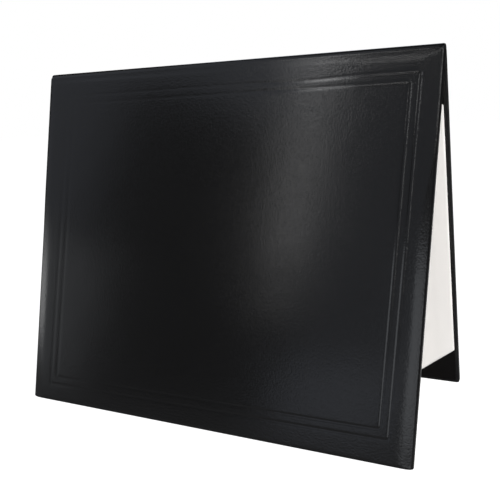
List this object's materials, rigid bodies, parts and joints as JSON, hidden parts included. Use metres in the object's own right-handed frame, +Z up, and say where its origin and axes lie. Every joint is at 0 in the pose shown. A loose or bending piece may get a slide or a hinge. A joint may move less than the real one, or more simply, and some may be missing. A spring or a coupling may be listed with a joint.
{
  "type": "diploma cover",
  "caption": "Padded leatherette diploma cover standing as a tent, with a pressed double frame on its front, a white lining and black corner pockets that hold the document.",
  "frame": {"origin": "on the ground, under the middle of the standing cover", "axes": "+X along the fold, to the viewer's right; -Y towards the side of the front panel; +Z up"},
  "size_m": [0.292, 0.1352, 0.2336],
  "materials": {
    "leatherette": "black, fine grain, semi-gloss",
    "pocket_cloth": "black, matte",
    "lining": "warm white, matte, fine weave",
    "padding": "foam sheet",
    "board": "grey board"
  },
  "bodies": {
    "front": {"front_cover_skin": "leatherette", "front_foam_pad": "padding", "front_board": "board", "front_lining": "lining"},
    "spine": {"spine_skin": "leatherette", "spine_lining": "leatherette"},
    "back": {"back_cover_skin": "leatherette", "back_foam_pad": "padding", "back_board": "board", "back_lining": "lining", "pocket_foot_left": "pocket_cloth", "pocket_foot_right": "pocket_cloth", "pocket_head_left": "pocket_cloth", "pocket_head_right": "pocket_cloth"}
  },
  "joints": [
    {"name": "front_fold", "type": "hinge", "parent": "front", "child": "spine", "pos_m": [0, -0.00291, 0.23321], "axis": [1, 0, 0], "range_deg": [-15.3, 74.7]},
    {"name": "back_fold", "type": "hinge", "parent": "spine", "child": "back", "pos_m": [0, 0.00291, 0.23321], "axis": [1, 0, 0], "range_deg": [-15.3, 74.7]}
  ],
  "couplings": [
    {"joint": "back_fold", "follows": "front_fold", "ratio": 1}
  ]
}
